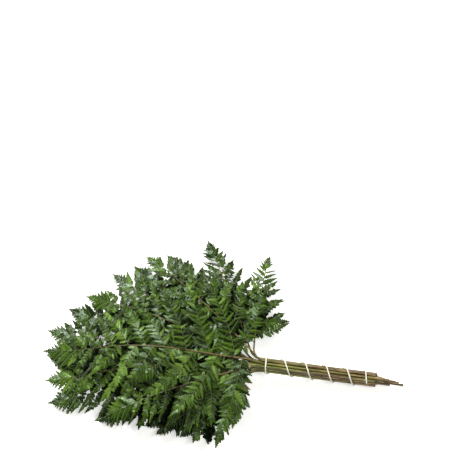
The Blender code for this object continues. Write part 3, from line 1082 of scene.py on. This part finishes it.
blade_ribs = tube_nodes(
    blade_tree, blade_inputs["Geometry"], blade_inputs["Rib sides"], blade_inputs["Rib finish"]
)
shapes = add_node(
    blade_tree,
    "GeometryNodeCollectionInfo",
    {
        "Collection": blade_inputs["Leaflet shapes"],
        "Separate Children": True,
        "Reset Children": True,
    },
)
roots = add_node(
    blade_tree, "GeometryNodeObjectInfo", {"Object": blade_inputs["Leaflet places"]}
)
aimed = add_node(
    blade_tree,
    "FunctionNodeAlignRotationToVector",
    {"Vector": said("aim", "FLOAT_VECTOR")},
    axis="X",
)
faced = add_node(
    blade_tree,
    "FunctionNodeAlignRotationToVector",
    {"Rotation": aimed.outputs[0], "Vector": said("face", "FLOAT_VECTOR")},
    axis="Z",
    pivot_axis="X",
)
growing = add_node(
    blade_tree,
    "GeometryNodeInstanceOnPoints",
    {
        "Points": roots.outputs["Geometry"],
        "Instance": shapes.outputs[0],
        "Pick Instance": True,
        "Instance Index": said("kind", "INT"),
        "Rotation": faced.outputs[0],
        "Scale": said("size", "FLOAT_VECTOR"),
    },
)
leafy = add_node(
    blade_tree,
    "GeometryNodeSetMaterial",
    {"Geometry": growing.outputs[0], "Material": blade_inputs["Leaf finish"]},
)
whole_blade = add_node(blade_tree, "GeometryNodeJoinGeometry")
blade_tree.links.new(blade_ribs, whole_blade.inputs[0])
blade_tree.links.new(leafy.outputs[0], whole_blade.inputs[0])
real_blade = add_node(
    blade_tree, "GeometryNodeRealizeInstances", {"Geometry": whole_blade.outputs[0]}
)
add_node(blade_tree, "NodeGroupOutput", {"Geometry": real_blade.outputs[0]})

blades = [grown_blade(frond) for frond in bunch]
shade_leaflets(blades)
for frond, blade in zip(bunch, blades):
    places = leaflet_places("leaflet_places", blade.leaflets)
    values = {
        "Leaflet places": places,
        "Leaflet shapes": leaflet_shapes,
        "Rib sides": RIB_SIDES,
        "Leaf finish": leaf_skin,
        "Rib finish": rib_skin,
    }
    ribs = strand_mesh("ribs", blade.ribs)
    leafage = grow(frond["name"] + "_leafage", ribs, blade_tree, values)
    bpy.data.objects.remove(places)
    for vertex in leafage.data.vertices:
        vertex.co.z = settled_height(vertex.co.z)
    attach(leafage, "root")
    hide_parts(frond["name"] + "_blade")
for shape in list(leaflet_shapes.objects):
    bpy.data.objects.remove(shape)
bpy.data.collections.remove(leaflet_shapes)


# The tie. A thin cream cord of twisted yarn is wound round the neck of the bundle and on along
# it in a long open spiral, snug over the outer stalks. Its turns are those of its CAD node.
TIE_RADIUS = 1.1 * MM
TIE_GAP = 0.3 * MM
# At each turn, how many millimetres past the neck the cord is. Below 0 is towards the cut ends.
TIE_RUN = ((-0.5, 1.2), (0.5, -1.2), (1.0, -25.0), (5.0, -158.0), (5.4, -162.5))
STEPS_OF_TURN = 48
CORD_SIDES = 12
YARN_TWIST = 5200.0
YARN_SHADOW = (0.50, 0.49, 0.40)
YARN_CREAM = (0.84, 0.83, 0.74)
YARN_ROUGHNESS = 0.75
YARN_FUZZ = 0.3


def tie_place(turn):
    """The middle of the cord after this many turns, counted from the +Y side over the top."""
    angle = 2 * math.pi * turn
    corners = [math.radians(60 * corner) for corner in range(6)]
    reach = max(2 * STALK_PITCH * math.cos(angle - corner) for corner in corners)
    off = reach + RADIUS_AT_CUT + TIE_GAP + TIE_RADIUS
    s = graph(TIE_RUN, turn) * MM
    return world(s, off * math.cos(angle), bundle_height(s) + off * math.sin(angle))


cord_yarn, tree, shader = new_finish("cord_yarn")
wraps = worked_out(tree, "MULTIPLY", attribute(tree, "along"), YARN_TWIST)
wraps = worked_out(tree, "SINE", wraps)
yarn = colour_mix(tree, in_range(tree, wraps, -1.0, 0.4), YARN_SHADOW, YARN_CREAM)
tree.links.new(yarn, shader.inputs["Base Color"])
shader.inputs["Roughness"].default_value = YARN_ROUGHNESS
shader.inputs["Sheen Weight"].default_value = YARN_FUZZ
tree.links.new(relief_of(tree, wraps, 0.6, 0.2 * MM), shader.inputs["Normal"])

first_turn, last_turn = TIE_RUN[0][0], TIE_RUN[-1][0]
steps = round((last_turn - first_turn) * STEPS_OF_TURN)
strand, along, before = [], 0.0, None
for step in range(steps + 1):
    place = tie_place(blend(first_turn, last_turn, step / steps))
    along += (place - before).length if before else 0.0
    strand.append((place, {"thickness": TIE_RADIUS, "along": along}))
    before = place
lines = strand_mesh("cord", [strand])
cord = grow("wound_cord", lines, stalk_tree, {"Sides": CORD_SIDES, "Finish": cord_yarn})
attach(cord, "root")
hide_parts("tie")


# The floor is a plain pale sheet, and the studio light is soft: a large lamp over the far left,
# a weaker one over the near right, and a dim, even surround.
FLOOR_SIZE = 14
FLOOR_PAPER = (0.93, 0.93, 0.93, 1)
FLOOR_GLOW = 0.55
FLOOR_ROUGHNESS = 0.9
WHITE = (1, 1, 1, 1)
SURROUND_STRENGTH = 0.1
LAMP_COLOUR = (1.0, 0.99, 0.92)
bpy.ops.mesh.primitive_plane_add(size=FLOOR_SIZE, location=(0, 0, -0.5 * MM))
floor = bpy.context.object
floor.name = "floor"
paper, tree, shader = new_finish("floor_paper")
shader.inputs["Base Color"].default_value = FLOOR_PAPER
shader.inputs["Emission Color"].default_value = WHITE
shader.inputs["Emission Strength"].default_value = FLOOR_GLOW
shader.inputs["Roughness"].default_value = FLOOR_ROUGHNESS
floor.data.materials.append(paper)

surround = bpy.data.worlds.new("surround")
bpy.context.scene.world = surround
surround.use_nodes = True
background = surround.node_tree.nodes["Background"]
background.inputs["Color"].default_value = WHITE
background.inputs["Strength"].default_value = SURROUND_STRENGTH


def lamp(name, place, size, power):
    data = bpy.data.lights.new(name, "AREA")
    data.size = size
    data.energy = power
    data.color = LAMP_COLOUR
    made = bpy.data.objects.new(name, data)
    made.location = place
    made.rotation_euler = (-Vector(place)).to_track_quat("-Z", "Y").to_euler()
    bpy.context.scene.collection.objects.link(made)


lamp("main_lamp", place=(-0.9, 0.9, 1.9), size=0.9, power=92)
lamp("fill_lamp", place=(0.6, -0.5, 2.1), size=0.6, power=18)
